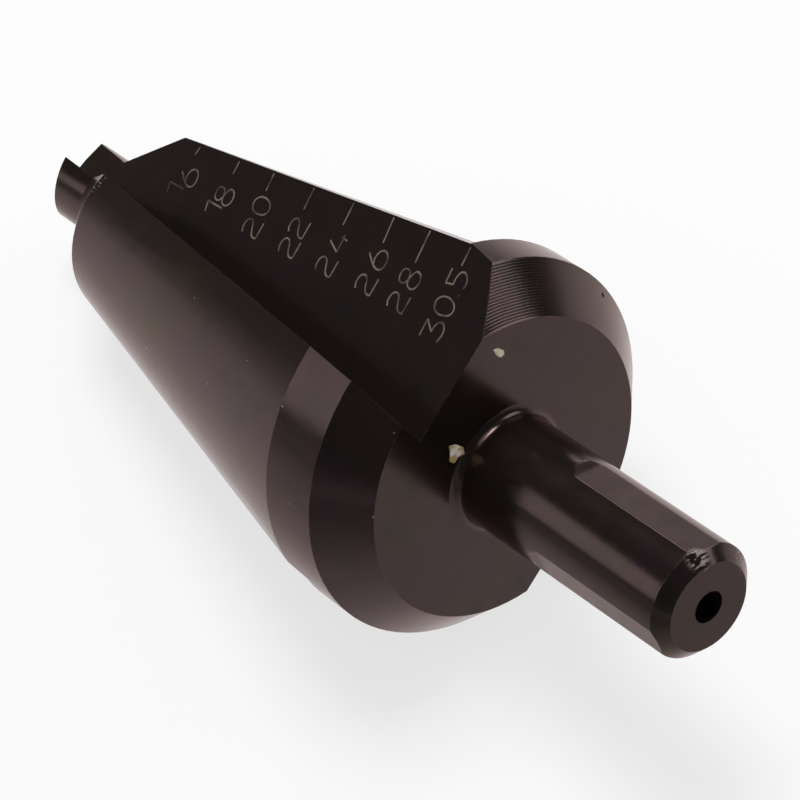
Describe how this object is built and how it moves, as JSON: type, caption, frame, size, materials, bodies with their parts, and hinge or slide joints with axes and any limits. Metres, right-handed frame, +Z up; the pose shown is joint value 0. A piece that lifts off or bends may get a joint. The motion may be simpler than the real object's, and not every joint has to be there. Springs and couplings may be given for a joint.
{
  "type": "conical sheet drill",
  "caption": "Conical drill for opening up holes in sheet and tube, with straight V flutes, a short pilot point and a plain shank with shallow chuck flats.",
  "frame": {"origin": "under the middle of the drill, on the surface it lies on", "axes": "+X along the drill towards the end of its shank, which lies higher than the point; +Z up, out of the first flute"},
  "size_m": [0.0772, 0.0304, 0.0279],
  "materials": {
    "steel": "dark steam-tempered satin"
  },
  "bodies": {
    "root": {"cone_drill": "steel"}
  },
  "joints": []
}
